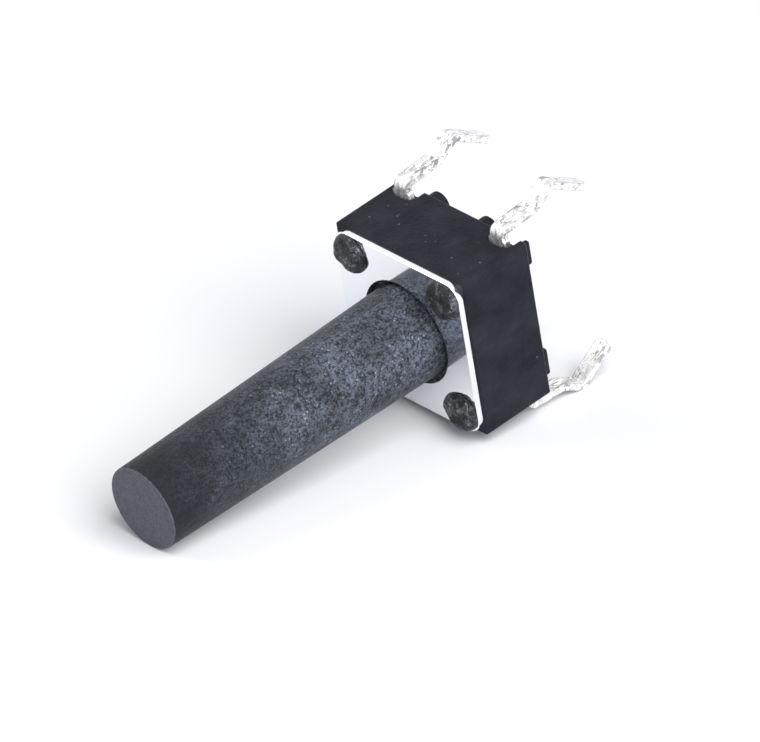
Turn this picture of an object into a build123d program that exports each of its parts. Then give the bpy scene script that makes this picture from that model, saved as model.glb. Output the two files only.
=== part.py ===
from build123d import *
import os

# Tall tactile push button switch for a circuit board, in millimetres.
# Z runs up the plunger; Z = 0 is the board's top face; X runs across the leads' two rows.

# ---- base moulding ----
base_side = 6.0
base_corner_radius = 0.12
base_bottom_z = 0.37  # the small feet below it reach the board
base_top_z = 3.18
base_edge_round = 0.05
cavity_radius = 2.4
cavity_floor_z = 1.1

foot_radius = 0.42
foot_x = 2.55
foot_near_y = 0.9
foot_far_y = 1.42
foot_edge_round = 0.05
edge_pad_length = 1.0
edge_pad_width = 0.5
edge_pad_x = -1.85
edge_pad_inset = 0.06  # from the base's side to the pad's outer face
corner_pad_length = 0.9
corner_pad_width = 0.22
pad_bottom_z = 0.14  # the pads stop short of the board
pad_edge_round = 0.09

# ---- cover plate and the four staked posts that hold it ----
cover_side = 5.85
cover_corner_radius = 0.6
cover_thickness = 0.22
cover_edge_round = 0.03
post_offset = 2.2
post_radius = 0.42
post_hole_clearance = 0.03
post_head_radius = 0.68
post_head_height = 0.27
post_head_round = 0.12

# ---- plunger ----
tip_z = 15.0
tip_radius = 1.48
tip_edge_round = 0.05
stem_root_radius = 1.7
stem_hole_clearance = 0.2  # radial gap in the cover's hole
flange_height = 0.95
flange_cavity_clearance = 0.08
flange_cover_gap = 0.04
nub_radius = 0.8
nub_edge_round = 0.15
travel = 0.25

# ---- snap dome ----
dome_radius = 2.25
dome_rise = 0.33
dome_thickness = 0.06
dome_nub_gap = 0.02

# ---- terminals, each one strip with a lead at both ends ----
strip_thickness = 0.25
strip_width = 0.56
strip_mid_z = 0.82
strip_y = 2.25
shoulder_width = 0.74  # the strip is wider inside the base and in its notches
shoulder_end_x = 3.2
shoulder_corner_round = 0.08
lead_elbow_x = 3.47
lead_neck = (3.55, -0.62)  # X and Z of the strip's middle line where the lead starts to bow out
lead_bow = (4.02, -1.43)
lead_tip = (3.12, -2.83)
lead_bend_radius = 0.22
lead_tip_round = 0.24
rim_contact_x = 0.7
rim_contact_y = 2.12
rim_contact_radius = 0.15
rim_contact_height = 0.05  # above the cavity's floor
tongue_width = 1.1
centre_contact_radius = 0.45

# ---- notches where the leads leave the base ----
notch_width = 1.0
notch_depth = 0.35
notch_roof_gap = 0.06
notch_corner_radius = 0.35

# ---- derived heights ----
cover_top_z = base_top_z + cover_thickness
flange_top_z = base_top_z - flange_cover_gap
flange_bottom_z = flange_top_z - flange_height
flange_radius = cavity_radius - flange_cavity_clearance
cover_hole_radius = stem_root_radius + stem_hole_clearance
strip_top_z = strip_mid_z + strip_thickness / 2
strip_bottom_z = strip_mid_z - strip_thickness / 2
dome_rim_z = cavity_floor_z + rim_contact_height
dome_inner_top_z = dome_rim_z + dome_rise
dome_sphere_radius = (dome_radius**2 + dome_rise**2) / (2 * dome_rise)
nub_bottom_z = dome_inner_top_z + dome_thickness + dome_nub_gap
# the pressed dome just meets the centre contact at the end of the travel
centre_contact_top_z = dome_inner_top_z - (travel - dome_nub_gap)
notch_top_z = strip_top_z + notch_roof_gap

post_places = [(sx * post_offset, sy * post_offset) for sx in (-1, 1) for sy in (-1, 1)]
foot_places = [(turn * foot_x, turn * y) for turn in (-1, 1) for y in (foot_far_y, -foot_near_y)]


def lead_path_points():
    """The strip's middle line in X and Z, from one lead's tip across the base to the other's."""
    right = [(lead_elbow_x, strip_mid_z), lead_neck, lead_bow, lead_tip]
    left = [(-x, z) for x, z in reversed(right)]
    return left + right


def lead_tip_edges(part):
    """The short edges at the corners of both lead tips."""
    ends = part.faces().sort_by(Axis.Z)[0:2]
    return [e for face in ends for e in face.edges() if abs(e.length - strip_thickness) < 1e-3]


# ---- terminal under the dome's rim ----
with BuildPart() as rim_contact_terminal:
    with BuildLine(Plane.XZ.offset(strip_y)) as rim_path:
        FilletPolyline(*lead_path_points(), radius=lead_bend_radius)
    with BuildSketch(Plane(origin=rim_path.line @ 0, z_dir=rim_path.line % 0, x_dir=(0, 1, 0))):
        Rectangle(strip_width, strip_thickness)
    sweep(path=rim_path.wires()[0])
    with BuildSketch(Plane.XY.offset(strip_bottom_z)):
        with Locations((0, -strip_y)):
            RectangleRounded(2 * shoulder_end_x, shoulder_width, shoulder_corner_round)
    extrude(amount=strip_thickness)
    with BuildSketch(Plane.XY.offset(strip_mid_z)):
        with Locations((-rim_contact_x, -rim_contact_y), (rim_contact_x, -rim_contact_y)):
            Circle(rim_contact_radius)
    extrude(amount=dome_rim_z - strip_mid_z)
    fillet(lead_tip_edges(rim_contact_terminal.part), lead_tip_round)

# ---- terminal under the dome's centre ----
with BuildPart() as centre_contact_terminal:
    with BuildLine(Plane.XZ.offset(-strip_y)) as centre_path:
        FilletPolyline(*lead_path_points(), radius=lead_bend_radius)
    with BuildSketch(Plane(origin=centre_path.line @ 0, z_dir=centre_path.line % 0, x_dir=(0, 1, 0))):
        Rectangle(strip_width, strip_thickness)
    sweep(path=centre_path.wires()[0])
    with BuildSketch(Plane.XY.offset(strip_bottom_z)):
        with Locations((0, strip_y)):
            RectangleRounded(2 * shoulder_end_x, shoulder_width, shoulder_corner_round)
    extrude(amount=strip_thickness)
    with BuildSketch(Plane.XY.offset(strip_bottom_z)):
        with Locations((0, strip_y / 2)):
            Rectangle(tongue_width, strip_y)
        Circle(tongue_width / 2)
    extrude(amount=strip_thickness)
    with BuildSketch(Plane.XY.offset(strip_mid_z)):
        Circle(centre_contact_radius)
    extrude(amount=centre_contact_top_z - strip_mid_z)
    fillet(lead_tip_edges(centre_contact_terminal.part), lead_tip_round)

# ---- base moulding with its posts staked over the cover ----
with BuildPart() as base_housing:
    with BuildSketch(Plane.XY.offset(base_bottom_z)):
        RectangleRounded(base_side, base_side, base_corner_radius)
    extrude(amount=base_top_z - base_bottom_z)
    fillet(base_housing.faces().sort_by(Axis.Z)[-1].edges(), base_edge_round)
    # round cavity for the dome and the plunger's flange
    with BuildSketch(Plane.XY.offset(cavity_floor_z)):
        Circle(cavity_radius)
    extrude(amount=base_top_z - cavity_floor_z, mode=Mode.SUBTRACT)
    # two bumps opposite the rim contacts, so the dome sits level
    with BuildSketch(Plane.XY.offset(cavity_floor_z)):
        with Locations((-rim_contact_x, rim_contact_y), (rim_contact_x, rim_contact_y)):
            Circle(rim_contact_radius)
    extrude(amount=rim_contact_height)
    # notches for the leads, open downwards
    for side in (-1, 1):
        wall = Plane(origin=(side * base_side / 2, 0, 0), x_dir=(0, side, 0), z_dir=(side, 0, 0))
        with BuildSketch(wall) as notches:
            with Locations((-strip_y, notch_top_z / 2), (strip_y, notch_top_z / 2)):
                Rectangle(notch_width, notch_top_z)
            fillet(notches.vertices().group_by(Axis.Y)[-1], notch_corner_radius)
        extrude(amount=-notch_depth, mode=Mode.SUBTRACT)
    # pads and feet on the underside; half a turn about Z leaves them the same
    with BuildSketch(Plane.XY.offset(pad_bottom_z)):
        for turn in (1, -1):
            pad_y = -base_side / 2 + edge_pad_inset + edge_pad_width / 2
            with Locations((turn * edge_pad_x, turn * pad_y)):
                RectangleRounded(edge_pad_length, edge_pad_width, pad_edge_round)
            corner_x = base_side / 2 - edge_pad_inset - corner_pad_length / 2
            corner_y = -base_side / 2 + edge_pad_inset + corner_pad_width / 2
            with Locations((turn * corner_x, turn * corner_y)):
                RectangleRounded(corner_pad_length, corner_pad_width, pad_edge_round)
    extrude(amount=base_bottom_z - pad_bottom_z)
    fillet(base_housing.edges().group_by(Axis.Z)[0], pad_edge_round)
    with BuildSketch(Plane.XY):
        with Locations(*foot_places):
            Circle(foot_radius)
    extrude(amount=base_bottom_z)
    fillet(base_housing.edges().group_by(Axis.Z)[0], foot_edge_round)
    # posts through the cover, each with a formed head
    with BuildSketch(Plane.XY.offset(base_top_z)):
        with Locations(*post_places):
            Circle(post_radius)
    extrude(amount=cover_thickness)
    with BuildSketch(Plane.XY.offset(cover_top_z)):
        with Locations(*post_places):
            Circle(post_head_radius)
    extrude(amount=post_head_height)
    fillet(base_housing.edges().group_by(Axis.Z)[-1], post_head_round)
    # the terminals are moulded in
    add(rim_contact_terminal.part, mode=Mode.SUBTRACT)
    add(centre_contact_terminal.part, mode=Mode.SUBTRACT)

# ---- cover plate ----
with BuildPart() as cover_plate:
    with BuildSketch(Plane.XY.offset(base_top_z)):
        RectangleRounded(cover_side, cover_side, cover_corner_radius)
        Circle(cover_hole_radius, mode=Mode.SUBTRACT)
        with Locations(*post_places):
            Circle(post_radius + post_hole_clearance, mode=Mode.SUBTRACT)
    extrude(amount=cover_thickness)
    rims = cover_plate.faces().sort_by(Axis.Z)[-1]
    fillet(rims.outer_wire().edges(), cover_edge_round)

# ---- plunger ----
with BuildPart() as plunger:
    with BuildSketch(Plane.XZ):
        with BuildLine():
            Polyline(
                (0, nub_bottom_z),
                (nub_radius, nub_bottom_z),
                (nub_radius, flange_bottom_z),
                (flange_radius, flange_bottom_z),
                (flange_radius, flange_top_z),
                (stem_root_radius, flange_top_z),
                (tip_radius, tip_z),
                (0, tip_z),
                close=True,
            )
        make_face()
    revolve(axis=Axis.Z)
    fillet(plunger.faces().sort_by(Axis.Z)[-1].edges(), tip_edge_round)
    fillet(plunger.faces().sort_by(Axis.Z)[0].edges(), nub_edge_round)

# ---- snap dome ----
with BuildPart() as contact_dome:
    with BuildSketch(Plane.XZ):
        with BuildLine():
            under = RadiusArc((0, dome_inner_top_z), (dome_radius, dome_rim_z), dome_sphere_radius)
            edge = Line(under @ 1, (dome_radius, dome_rim_z + dome_thickness))
            top = RadiusArc(
                edge @ 1, (0, dome_inner_top_z + dome_thickness), -dome_sphere_radius
            )
            Line(top @ 1, under @ 0)
        make_face()
    revolve(axis=Axis.Z)

os.makedirs("parts", exist_ok=True)
base_housing.part.label = "base_housing"
export_step(base_housing.part, "parts/base_housing.step")
cover_plate.part.label = "cover_plate"
export_step(cover_plate.part, "parts/cover_plate.step")
plunger.part.label = "plunger"
export_step(plunger.part, "parts/plunger.step")
contact_dome.part.label = "contact_dome"
export_step(contact_dome.part, "parts/contact_dome.step")
rim_contact_terminal.part.label = "rim_contact_terminal"
export_step(rim_contact_terminal.part, "parts/rim_contact_terminal.step")
centre_contact_terminal.part.label = "centre_contact_terminal"
export_step(centre_contact_terminal.part, "parts/centre_contact_terminal.step")
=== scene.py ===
import math
import bmesh
import bpy
from mathutils import Matrix, Vector, noise


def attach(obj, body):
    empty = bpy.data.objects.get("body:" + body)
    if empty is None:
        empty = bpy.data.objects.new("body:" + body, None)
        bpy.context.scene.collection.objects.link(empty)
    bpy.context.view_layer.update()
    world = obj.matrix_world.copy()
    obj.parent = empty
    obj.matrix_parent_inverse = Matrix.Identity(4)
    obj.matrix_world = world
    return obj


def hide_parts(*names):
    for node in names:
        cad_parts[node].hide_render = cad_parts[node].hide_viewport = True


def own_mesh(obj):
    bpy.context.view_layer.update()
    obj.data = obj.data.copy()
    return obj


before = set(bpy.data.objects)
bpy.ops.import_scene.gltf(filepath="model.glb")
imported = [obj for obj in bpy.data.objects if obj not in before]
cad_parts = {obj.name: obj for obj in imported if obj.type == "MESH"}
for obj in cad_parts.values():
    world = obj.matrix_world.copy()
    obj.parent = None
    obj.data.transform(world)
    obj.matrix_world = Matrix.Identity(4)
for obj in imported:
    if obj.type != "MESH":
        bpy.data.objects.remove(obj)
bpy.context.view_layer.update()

MM = 0.001

# The view, fitted to the photo: a long lens that looks down at the switch as it lies on the floor.
VIEW_DIRECTION = Vector((0.58105, -0.64550, 0.49569))
VIEW_UP = Vector((0.8019, 0.3498, -0.4844))
VIEW_TARGET = Vector((-0.138, -0.690, 5.264)) * MM
VIEW_DISTANCE = 394.48 * MM
VIEW_LENS_MM = 583.5
SENSOR_MM = 36.0

SMOOTH_BELOW = math.radians(32)  # edges sharper than this keep their crease
WELD = 0.001 * MM  # points nearer than this become one
FLAT = 0.005 * MM  # points nearer than this to a plane lie in it

# The melted post heads, against the plain ones of the CAD.
HEAD_WIDER = 1.04
HEAD_TALLER = 1.1
HEAD_RINGS = 22
HEAD_SEGMENTS = 84
HEAD_SEED_STEP = 3.1  # sets the heads' lumps apart from each other
HEAD_LEAST_RISE = 0.02 * MM  # base points this far above the cover belong to a head

BEVEL_SAMPLES = 6
LAMP_DISTANCE = 280 * MM
FLOOR_HALF_SIDE = 400 * MM
FLOOR_GAP = 0.005 * MM


# ---------------------------------------------------------------- node helpers
class Nodes:
    """A new material's node tree, with short calls to add and join nodes."""

    def __init__(self, name):
        self.material = bpy.data.materials.new(name)
        self.material.use_nodes = True
        self.tree = self.material.node_tree
        self.shader = self.tree.nodes["Principled BSDF"]
        self.output = self.tree.nodes["Material Output"]
        coords = self.tree.nodes.new("ShaderNodeTexCoord")
        scale = self.tree.nodes.new("ShaderNodeMapping")
        scale.inputs["Scale"].default_value = (1000, 1000, 1000)
        self.link(coords.outputs["Object"], scale.inputs["Vector"])
        self.mm = scale.outputs["Vector"]

    def link(self, a, b):
        self.tree.links.new(a, b)

    def put(self, value, socket):
        """Sets a socket to a value, or joins it to another node's output."""
        if isinstance(value, bpy.types.NodeSocket):
            self.link(value, socket)
        else:
            socket.default_value = value

    def set(self, **values):
        for name, value in values.items():
            self.put(value, self.shader.inputs[name.replace("_", " ")])

    def noise(self, scale, detail=3.0, roughness=0.55, vector=None, distortion=0.0):
        node = self.tree.nodes.new("ShaderNodeTexNoise")
        self.link(vector or self.mm, node.inputs["Vector"])
        node.inputs["Scale"].default_value = scale
        node.inputs["Detail"].default_value = detail
        node.inputs["Roughness"].default_value = roughness
        node.inputs["Distortion"].default_value = distortion
        return node.outputs["Fac"]

    def cells(self, scale):
        """(distance, random number) of scattered points, scale points to the millimetre."""
        node = self.tree.nodes.new("ShaderNodeTexVoronoi")
        self.link(self.mm, node.inputs["Vector"])
        node.inputs["Scale"].default_value = scale
        parts = self.tree.nodes.new("ShaderNodeSeparateColor")
        self.link(node.outputs["Color"], parts.inputs[0])
        return node.outputs["Distance"], parts.outputs[0]

    def stretched(self, sx, sy, sz):
        node = self.tree.nodes.new("ShaderNodeMapping")
        self.link(self.mm, node.inputs["Vector"])
        node.inputs["Scale"].default_value = (sx, sy, sz)
        return node.outputs["Vector"]

    def ramp(self, value, low, high, to_low=0.0, to_high=1.0):
        node = self.tree.nodes.new("ShaderNodeMapRange")
        node.clamp = True
        self.link(value, node.inputs["Value"])
        limits = {"From Min": low, "From Max": high, "To Min": to_low, "To Max": to_high}
        for name, number in limits.items():
            node.inputs[name].default_value = number
        return node.outputs["Result"]

    def maths(self, operation, a, b=0.0):
        node = self.tree.nodes.new("ShaderNodeMath")
        node.operation = operation
        self.put(a, node.inputs[0])
        self.put(b, node.inputs[1])
        return node.outputs[0]

    def above(self, height_mm, spread_mm=0.02, most=1.0):
        """0 up to a height in the frame, and most from spread_mm above it."""
        split = self.tree.nodes.new("ShaderNodeSeparateXYZ")
        self.link(self.mm, split.inputs[0])
        return self.ramp(split.outputs["Z"], height_mm, height_mm + spread_mm, 0.0, most)

    def blend(self, factor, a, b):
        """A number between a and b."""
        node = self.tree.nodes.new("ShaderNodeMix")
        for value, socket in zip((factor, a, b), (0, 2, 3)):
            self.put(value, node.inputs[socket])
        return node.outputs[0]

    def mix(self, factor, a, b):
        node = self.tree.nodes.new("ShaderNodeMix")
        node.data_type = "RGBA"
        self.put(factor, node.inputs[0])
        self.put((*a, 1.0) if isinstance(a, tuple) else a, node.inputs[6])
        self.put((*b, 1.0) if isinstance(b, tuple) else b, node.inputs[7])
        return node.outputs[2]

    def rounded(self, radius_mm):
        """The surface's normal as if its edges were rounded."""
        bevel = self.tree.nodes.new("ShaderNodeBevel")
        bevel.samples = BEVEL_SAMPLES
        bevel.inputs["Radius"].default_value = radius_mm * MM
        return bevel.outputs[0]

    def edge(self, radius_mm):
        """1 on edges and 0 on flats, from how far the rounded normal leans from the true one."""
        geometry = self.tree.nodes.new("ShaderNodeNewGeometry")
        dot = self.tree.nodes.new("ShaderNodeVectorMath")
        dot.operation = "DOT_PRODUCT"
        self.link(self.rounded(radius_mm), dot.inputs[0])
        self.link(geometry.outputs["Normal"], dot.inputs[1])
        return self.ramp(dot.outputs["Value"], 0.98, 0.75)

    def bump(self, height, depth_mm, strength=1.0, round_mm=0.0):
        node = self.tree.nodes.new("ShaderNodeBump")
        self.link(height, node.inputs["Height"])
        node.inputs["Distance"].default_value = depth_mm * MM
        node.inputs["Strength"].default_value = strength
        if round_mm:
            self.link(self.rounded(round_mm), node.inputs["Normal"])
        self.link(node.outputs[0], self.shader.inputs["Normal"])


# ---------------------------------------------------------------- materials
def base_plastic(cover_top_mm):
    """Matte black moulding with faint mottling, pale dust and ragged pale edges, which are a painted
    highlight.

    Above the cover plate lie the melted post heads, which are lumpier and shinier, with painted highlights on
    their rims and lumps.
    """
    n = Nodes("base_plastic")
    cloud = n.noise(1.1, 4)
    grain = n.noise(14.0, 3)
    rag = n.noise(5.0, 5, 0.75)
    lump = n.noise(2.6, 4, 0.65, distortion=0.6)
    crust_and_highlight = n.noise(11.0, 4, 0.75)
    head = n.above(cover_top_mm)

    dot, chance = n.cells(2.3)
    dust = n.maths("MULTIPLY", n.ramp(dot, 0.10, 0.03), n.ramp(chance, 0.80, 0.90))
    smear = n.ramp(n.noise(1.6, 4, 0.7, n.stretched(1.0, 1.0, 0.35)), 0.55, 0.75, 0.0, 0.25)
    flat = n.mix(n.ramp(cloud, 0.35, 0.7), (0.009, 0.0096, 0.013), (0.017, 0.018, 0.0245))
    flat = n.mix(smear, flat, (0.040, 0.042, 0.054))
    # Painted highlight: pale ragged marks along the moulding's edges.
    painted_edge_highlight = n.maths("MULTIPLY", n.edge(0.07), n.ramp(rag, 0.42, 0.62, 0.12, 0.85))
    flat = n.mix(painted_edge_highlight, flat, (0.20, 0.21, 0.25))
    flat = n.mix(n.maths("MULTIPLY", dust, 0.45), flat, (0.27, 0.28, 0.32))
    melted = n.mix(n.ramp(lump, 0.46, 0.66), (0.0035, 0.0037, 0.0045), (0.055, 0.058, 0.066))
    # Painted highlight: pale marks on the heads' rims and lumps, broken up by the crust noise, which also
    # roughens the heads' bump.
    painted_head_highlight = n.maths("MAXIMUM", n.maths("MULTIPLY", n.edge(0.12), 0.9), n.ramp(lump, 0.48, 0.62))
    painted_head_highlight = n.maths("MULTIPLY", painted_head_highlight, n.ramp(crust_and_highlight, 0.50, 0.60))
    melted = n.mix(n.maths("MULTIPLY", painted_head_highlight, 0.85), melted, (0.34, 0.35, 0.38))

    n.set(Base_Color=n.mix(head, flat, melted), Roughness=n.ramp(grain, 0.3, 0.7, 0.34, 0.46),
          Specular_IOR_Level=n.blend(head, 0.06, 0.40))
    smooth = n.maths("ADD", n.maths("MULTIPLY", grain, 0.07), n.maths("MULTIPLY", rag, 0.12))
    smooth = n.maths("ADD", smooth, n.maths("MULTIPLY", cloud, 0.10))
    rough = n.maths("ADD", lump, n.maths("MULTIPLY", crust_and_highlight, 0.35))
    n.bump(n.blend(head, smooth, rough), 0.22, 1.0, 0.06)
    return n.material


def stem_plastic(tip_mm):
    """Charcoal moulding with a mottled grain, bluish clouds and light specks.

    It darkens towards the tip, whose end face is paler again.
    """
    n = Nodes("stem_plastic")
    grain = n.noise(6.5, 4, 0.75)
    fine = n.noise(15.0, 2, 0.6)
    cloud = n.noise(0.8, 4, 0.6, distortion=0.4)
    dot, chance = n.cells(7.5)
    speck = n.maths("MULTIPLY", n.ramp(dot, 0.36, 0.12), n.ramp(chance, 0.55, 0.75))
    speck = n.maths("MULTIPLY", speck, n.ramp(cloud, 0.42, 0.62, 0.15, 1.0))
    mixed = n.maths("ADD", n.maths("MULTIPLY", grain, 0.55), n.maths("MULTIPLY", fine, 0.45))
    dark = n.mix(n.ramp(cloud, 0.38, 0.64), (0.006, 0.007, 0.009), (0.020, 0.024, 0.032))
    pale = n.mix(n.ramp(cloud, 0.38, 0.64), (0.054, 0.060, 0.073), (0.115, 0.130, 0.164))
    colour = n.mix(n.ramp(mixed, 0.44, 0.56), dark, pale)
    colour = n.mix(n.maths("MULTIPLY", speck, 0.7), colour, (0.34, 0.38, 0.44))
    colour = n.mix(n.above(tip_mm - 6.5, 6.0, 0.92), colour, (0.007, 0.0075, 0.010))
    end_face = n.mix(n.ramp(mixed, 0.40, 0.60), (0.058, 0.060, 0.075), (0.115, 0.120, 0.148))
    colour = n.mix(n.above(tip_mm - 0.04), colour, end_face)
    n.set(Base_Color=colour, Roughness=n.ramp(grain, 0.3, 0.7, 0.36, 0.52), Specular_IOR_Level=0.15)
    n.bump(n.maths("ADD", grain, n.maths("MULTIPLY", fine, 0.8)), 0.065, 1.0, 0.04)
    return n.material


def cover_steel():
    """Polished sheet: mirror bright, with faint waviness and hairlines."""
    n = Nodes("cover_steel")
    wave = n.noise(0.6, 2)
    hair = n.noise(6.0, 3, 0.6, n.stretched(1.0, 14.0, 1.0))
    n.set(Base_Color=n.mix(n.ramp(wave, 0.3, 0.7), (0.90, 0.91, 0.94), (0.95, 0.96, 0.99)),
          Metallic=1.0, Roughness=n.ramp(hair, 0.35, 0.75, 0.05, 0.14))
    n.bump(n.maths("ADD", wave, n.maths("MULTIPLY", hair, 0.04)), 0.004, 0.5, 0.03)
    return n.material


def lead_silver():
    """Bright satin plating over stamped strip, with grey streaks, small dents and darker edges."""
    n = Nodes("lead_silver")
    streak = n.noise(4.2, 5, 0.7, n.stretched(1.0, 1.8, 0.8), 0.8)
    fine = n.noise(18.0, 3, 0.6, n.stretched(1.0, 2.5, 0.7))
    stain = n.noise(1.3, 3)
    patch = n.maths("MULTIPLY", n.ramp(streak, 0.49, 0.55), n.ramp(stain, 0.40, 0.56, 0.35, 1.0))
    colour = n.mix(n.maths("MULTIPLY", patch, 0.9), (0.90, 0.89, 0.88), (0.24, 0.22, 0.21))
    colour = n.mix(n.maths("MULTIPLY", n.edge(0.06), 0.8), colour, (0.16, 0.155, 0.155))
    n.set(Base_Color=colour, Metallic=n.ramp(streak, 0.45, 0.65, 0.6, 0.85),
          Roughness=n.ramp(fine, 0.3, 0.7, 0.24, 0.42))
    n.bump(n.maths("ADD", streak, n.maths("MULTIPLY", fine, 0.3)), 0.03, 0.7, 0.05)
    return n.material


def dome_steel():
    """Spring steel with a fine brushed grain."""
    n = Nodes("dome_steel")
    grain = n.noise(8.0, 3, 0.6, n.stretched(1.0, 12.0, 1.0))
    n.set(Base_Color=n.mix(n.ramp(grain, 0.35, 0.65), (0.50, 0.48, 0.45), (0.66, 0.64, 0.60)),
          Metallic=1.0, Roughness=n.ramp(grain, 0.3, 0.7, 0.22, 0.38))
    n.bump(grain, 0.006, 0.5)
    return n.material


# ---------------------------------------------------------------- pieces
def top_mm(node):
    return max(v.co.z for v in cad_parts[node].data.vertices) / MM


def add_object(name, data):
    obj = bpy.data.objects.new(name, data)
    bpy.context.scene.collection.objects.link(obj)
    return obj


def smooth_mesh(bm, name, material):
    """Turns bm into a mesh that is smooth but for its creases."""
    for face in bm.faces:
        face.smooth = True
    for edge in bm.edges:
        edge.smooth = edge.is_manifold and edge.calc_face_angle(0) < SMOOTH_BELOW
    mesh = bpy.data.meshes.new(name)
    bm.to_mesh(mesh)
    bm.free()
    mesh.materials.append(material)
    return mesh


def melted_head(bm, centre, bottom, radius, height, seed):
    """A closed, lumpy dome, as a post's end looks once it is melted over the cover."""
    top = bm.verts.new(centre + Vector((0, 0, bottom + height)))
    loops = []
    for ring in range(1, HEAD_RINGS + 1):
        share = math.sin(ring / HEAD_RINGS * math.pi / 2) ** 0.9
        loop = []
        for i in range(HEAD_SEGMENTS):
            turn = 2 * math.pi * i / HEAD_SEGMENTS
            way = Vector((math.cos(turn), math.sin(turn), 0))
            lump = noise.fractal(way * share * 1.6 + Vector((0, 0, seed)), 1.0, 2.0, 4)
            wobble = noise.noise(way * 1.3 + Vector((0, seed, 0)))
            spread = radius * share * (1 + 0.10 * wobble)
            rise = 0.0
            if ring < HEAD_RINGS:
                rise = height * (1 - share**7) ** 0.5 * (1 - 0.25 * share**2 + 0.3 * lump)
            loop.append(bm.verts.new(centre + way * spread + Vector((0, 0, bottom + rise))))
        loops.append(loop)
    foot = bm.verts.new(centre + Vector((0, 0, bottom)))
    for i in range(HEAD_SEGMENTS):
        j = (i + 1) % HEAD_SEGMENTS
        bm.faces.new((top, loops[0][i], loops[0][j]))
        bm.faces.new((foot, loops[-1][j], loops[-1][i]))
        for inner, outer in zip(loops, loops[1:]):
            bm.faces.new((inner[i], outer[i], outer[j], inner[j]))


def above_cover(face, cover_top):
    """Whether a face of the base is part of a head, down to the plane of the cover's top."""
    heights = [v.co.z for v in face.verts]
    return max(heights) > cover_top + FLAT or all(abs(z - cover_top) < FLAT for z in heights)


def build_base(material):
    """The base moulding with its post heads remodelled as lumpy domes, a little larger, in the same place."""
    cover_top = top_mm("cover_plate") * MM
    bm = bmesh.new()
    bm.from_mesh(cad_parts["base_housing"].data)
    bmesh.ops.remove_doubles(bm, verts=bm.verts, dist=WELD)
    heads = {}
    for vert in bm.verts:
        if vert.co.z > cover_top + HEAD_LEAST_RISE:
            corner = (vert.co.x > 0, vert.co.y > 0)
            heads.setdefault(corner, []).append(vert.co.copy())
    plain = [f for f in bm.faces if above_cover(f, cover_top)]
    bmesh.ops.delete(bm, geom=plain, context="FACES")
    bmesh.ops.holes_fill(bm, edges=[e for e in bm.edges if e.is_boundary])
    for number, corner in enumerate(sorted(heads)):
        low = Vector([min(p[k] for p in heads[corner]) for k in range(3)])
        high = Vector([max(p[k] for p in heads[corner]) for k in range(3)])
        centre = Vector(((low.x + high.x) / 2, (low.y + high.y) / 2, 0))
        radius = (high.x - low.x) / 2 * HEAD_WIDER
        height = (high.z - cover_top) * HEAD_TALLER
        melted_head(bm, centre, cover_top, radius, height, HEAD_SEED_STEP * number)
    base = add_object("base_moulding", smooth_mesh(bm, "base_moulding", material))
    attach(base, "switch_body")
    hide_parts("base_housing")


def build_dome(material):
    """The snap dome as a piece of its own, with a mesh of its own."""
    bm = bmesh.new()
    bm.from_mesh(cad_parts["contact_dome"].data)
    bmesh.ops.remove_doubles(bm, verts=bm.verts, dist=WELD)
    mesh = smooth_mesh(bm, "snap_dome", material)
    dome = add_object("snap_dome", mesh)
    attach(dome, "switch_body")
    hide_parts("contact_dome")
    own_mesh(dome)


def paint(node, material):
    """Gives a CAD node one material."""
    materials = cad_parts[node].data.materials
    materials.clear()
    materials.append(material)


# ---------------------------------------------------------------- floor, light and camera
def floor_normal_and_height():
    """The plane under the switch as it lies: it touches the bowed leads at -X and the stem's tip."""
    leads = [v.co for name in ("rim_contact_terminal", "centre_contact_terminal")
             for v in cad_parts[name].data.vertices]
    stem = [v.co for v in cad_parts["plunger"].data.vertices]
    low, high = 0.0, math.radians(30)
    for _ in range(40):
        angle = (low + high) / 2
        normal = Vector((math.cos(angle), 0, -math.sin(angle)))
        if min(normal.dot(v) for v in stem) > min(normal.dot(v) for v in leads):
            low = angle
        else:
            high = angle
    return normal, min(normal.dot(v) for v in leads)


def frame_matrix(origin, z_axis, towards):
    """A matrix at origin with Z along z_axis and X as near to towards as it can be."""
    z = z_axis.normalized()
    y = z.cross(towards).normalized()
    x = y.cross(z)
    m = Matrix((x, y, z)).transposed().to_4x4()
    m.translation = origin
    return m


def build_floor(normal, height):
    """A pale sheet that keeps the soft shadow and is clear from below."""
    half = FLOOR_HALF_SIDE
    mesh = bpy.data.meshes.new("floor")
    corners = [(-half, -half, 0), (half, -half, 0), (half, half, 0), (-half, half, 0)]
    mesh.from_pydata(corners, [], [(0, 1, 2, 3)])
    floor = add_object("floor", mesh)
    floor.matrix_world = frame_matrix(normal * (height - FLOOR_GAP), normal, Vector((0, 0, 1)))
    n = Nodes("floor_white")
    pale = n.mix(n.noise(0.02, 2), (0.698, 0.694, 0.700), (0.710, 0.706, 0.712))
    n.set(Base_Color=pale, Roughness=0.9, Specular_IOR_Level=0.1)
    geometry = n.tree.nodes.new("ShaderNodeNewGeometry")
    clear = n.tree.nodes.new("ShaderNodeBsdfTransparent")
    choose = n.tree.nodes.new("ShaderNodeMixShader")
    n.link(geometry.outputs["Backfacing"], choose.inputs[0])
    n.link(n.shader.outputs[0], choose.inputs[1])
    n.link(clear.outputs[0], choose.inputs[2])
    n.link(choose.outputs[0], n.output.inputs["Surface"])
    mesh.materials.append(n.material)


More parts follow.
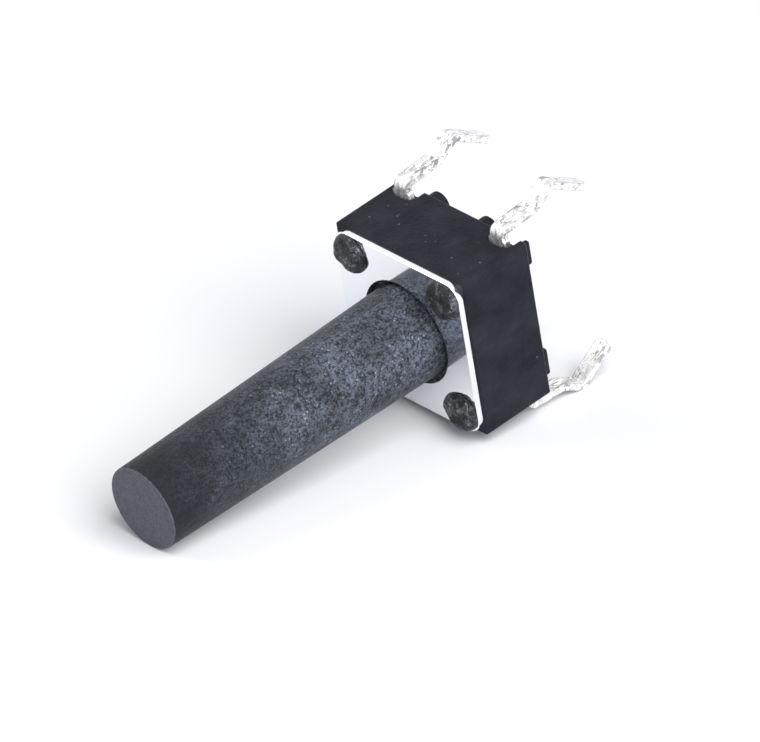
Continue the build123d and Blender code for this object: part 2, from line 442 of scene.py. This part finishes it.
def build_world(bright_side, dim, bright):
    """Plain white to look at and in reflections, and a faintly blue light from dim to bright elsewhere."""
    world = bpy.data.worlds.new("studio")
    bpy.context.scene.world = world
    world.use_nodes = True
    tree = world.node_tree
    background = tree.nodes["Background"]
    coords = tree.nodes.new("ShaderNodeTexCoord")
    side = tree.nodes.new("ShaderNodeVectorMath")
    side.operation = "DOT_PRODUCT"
    tree.links.new(coords.outputs["Generated"], side.inputs[0])
    side.inputs[1].default_value = bright_side.normalized()
    level = tree.nodes.new("ShaderNodeMapRange")
    level.interpolation_type = "SMOOTHSTEP"
    tree.links.new(side.outputs["Value"], level.inputs["Value"])
    for name, value in (("From Min", -0.5), ("From Max", 0.9), ("To Min", dim), ("To Max", bright)):
        level.inputs[name].default_value = value
    path = tree.nodes.new("ShaderNodeLightPath")
    shown = path.outputs["Is Camera Ray"]
    for ray in ("Is Glossy Ray", "Is Transmission Ray"):
        either = tree.nodes.new("ShaderNodeMath")
        either.operation = "MAXIMUM"
        tree.links.new(shown, either.inputs[0])
        tree.links.new(path.outputs[ray], either.inputs[1])
        shown = either.outputs[0]
    colour = tree.nodes.new("ShaderNodeMix")
    colour.data_type = "RGBA"
    tree.links.new(shown, colour.inputs[0])
    colour.inputs[6].default_value = (0.88, 0.91, 1.0, 1)
    colour.inputs[7].default_value = (1, 1, 1, 1)
    tree.links.new(colour.outputs[2], background.inputs["Color"])
    strength = tree.nodes.new("ShaderNodeMix")
    tree.links.new(shown, strength.inputs[0])
    tree.links.new(level.outputs["Result"], strength.inputs[2])
    strength.inputs[3].default_value = 1.0
    tree.links.new(strength.outputs[0], background.inputs["Strength"])


def area_light(name, centre, offset, size, watts, colour=(1, 1, 1)):
    """A soft square lamp at centre + offset, facing centre."""
    light = bpy.data.lights.new(name, "AREA")
    light.shape = "SQUARE"
    light.size = size
    light.energy = watts
    light.color = colour
    add_object(name, light).matrix_world = frame_matrix(centre + offset, offset, Vector((0, 0, 1)))


def build_camera():
    camera = bpy.data.cameras.new("camera")
    camera.sensor_width = SENSOR_MM
    camera.lens = VIEW_LENS_MM
    camera.clip_start = 0.01
    camera.clip_end = 10
    obj = add_object("camera", camera)
    z = VIEW_DIRECTION.normalized()
    x = VIEW_UP.cross(z).normalized()
    m = Matrix((x, z.cross(x), z)).transposed().to_4x4()
    m.translation = VIEW_TARGET + z * VIEW_DISTANCE
    obj.matrix_world = m
    bpy.context.scene.camera = obj
    return obj


silver = lead_silver()
build_base(base_plastic(top_mm("cover_plate")))
paint("cover_plate", cover_steel())
paint("plunger", stem_plastic(top_mm("plunger")))
build_dome(dome_steel())
paint("rim_contact_terminal", silver)
paint("centre_contact_terminal", silver)

floor_up, floor_height = floor_normal_and_height()
build_floor(floor_up, floor_height)
camera = build_camera()
right = camera.matrix_world.col[0].xyz
away = floor_up.cross(right)
middle = Vector((0, 0, 6 * MM))
build_world(right * 0.75 - away * 0.6 + floor_up * 0.1, 0.08, 1.32)
key_way = floor_up * 0.85 + right * 0.35 - away * 0.55
back_way = floor_up * 0.6 - right * 0.75 + away * 0.1
area_light("key", middle, key_way * LAMP_DISTANCE, size=0.24, watts=1.02)
area_light("side", middle, Vector((0.05, -0.28, 0.02)), size=0.22, watts=0.42, colour=(0.90, 0.93, 1.0))
area_light("back", middle, back_way * LAMP_DISTANCE, size=0.14, watts=0.25)

scene = bpy.context.scene
scene.view_settings.view_transform = "Standard"
